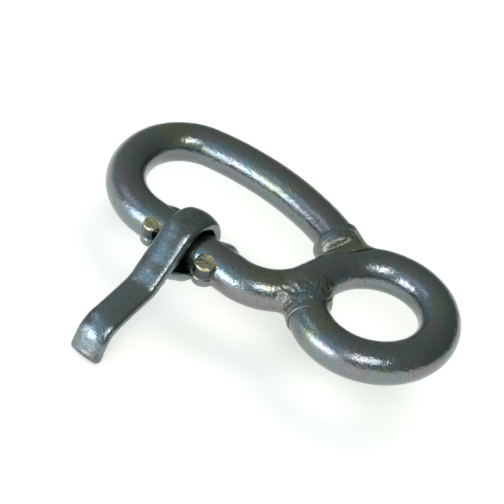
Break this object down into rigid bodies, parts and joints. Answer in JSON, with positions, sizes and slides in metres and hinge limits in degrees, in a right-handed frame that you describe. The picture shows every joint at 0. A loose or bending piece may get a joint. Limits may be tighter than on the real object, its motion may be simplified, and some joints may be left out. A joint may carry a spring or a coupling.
{
  "type": "figure-eight link with lever",
  "caption": "Welded round-bar link with a long loop, a round eye and a free-turning strap lever on the loop's front leg.",
  "frame": {"origin": "centre of the round eye, on the bar's axis plane", "axes": "+X from the long loop towards the eye, along the longest extent and along the lever's turning axis; +Y away from the lever's side; +Z normal to the plane of the bent bar"},
  "size_m": [0.1196, 0.0873, 0.0291],
  "materials": {
    "zinc_bar": "bright zinc plate over drawn bar, glossy with a faint grain and a blue-pink sheen",
    "zinc_weld": "zinc plate over rough rippled weld bead",
    "zinc_lug": "zinc plate, pitted cut ends with a straw tint",
    "zinc_strap": "bright zinc plate over forged strap, satin with a hammered tip"
  },
  "bodies": {
    "link": {"bar": "zinc_bar", "eye_weld": "zinc_weld", "leg_weld": "zinc_weld", "near_outer_lug": "zinc_lug", "near_inner_lug": "zinc_lug", "far_outer_lug": "zinc_lug", "far_inner_lug": "zinc_lug"},
    "lever": {"lever": "zinc_strap", "lever_weld": "zinc_weld"}
  },
  "joints": [
    {"name": "lever_turn", "type": "hinge", "parent": "link", "child": "lever", "pos_m": [-0.0532, -0.018, 0], "axis": [-1, 0, 0], "range_deg": [-144, 180]}
  ]
}
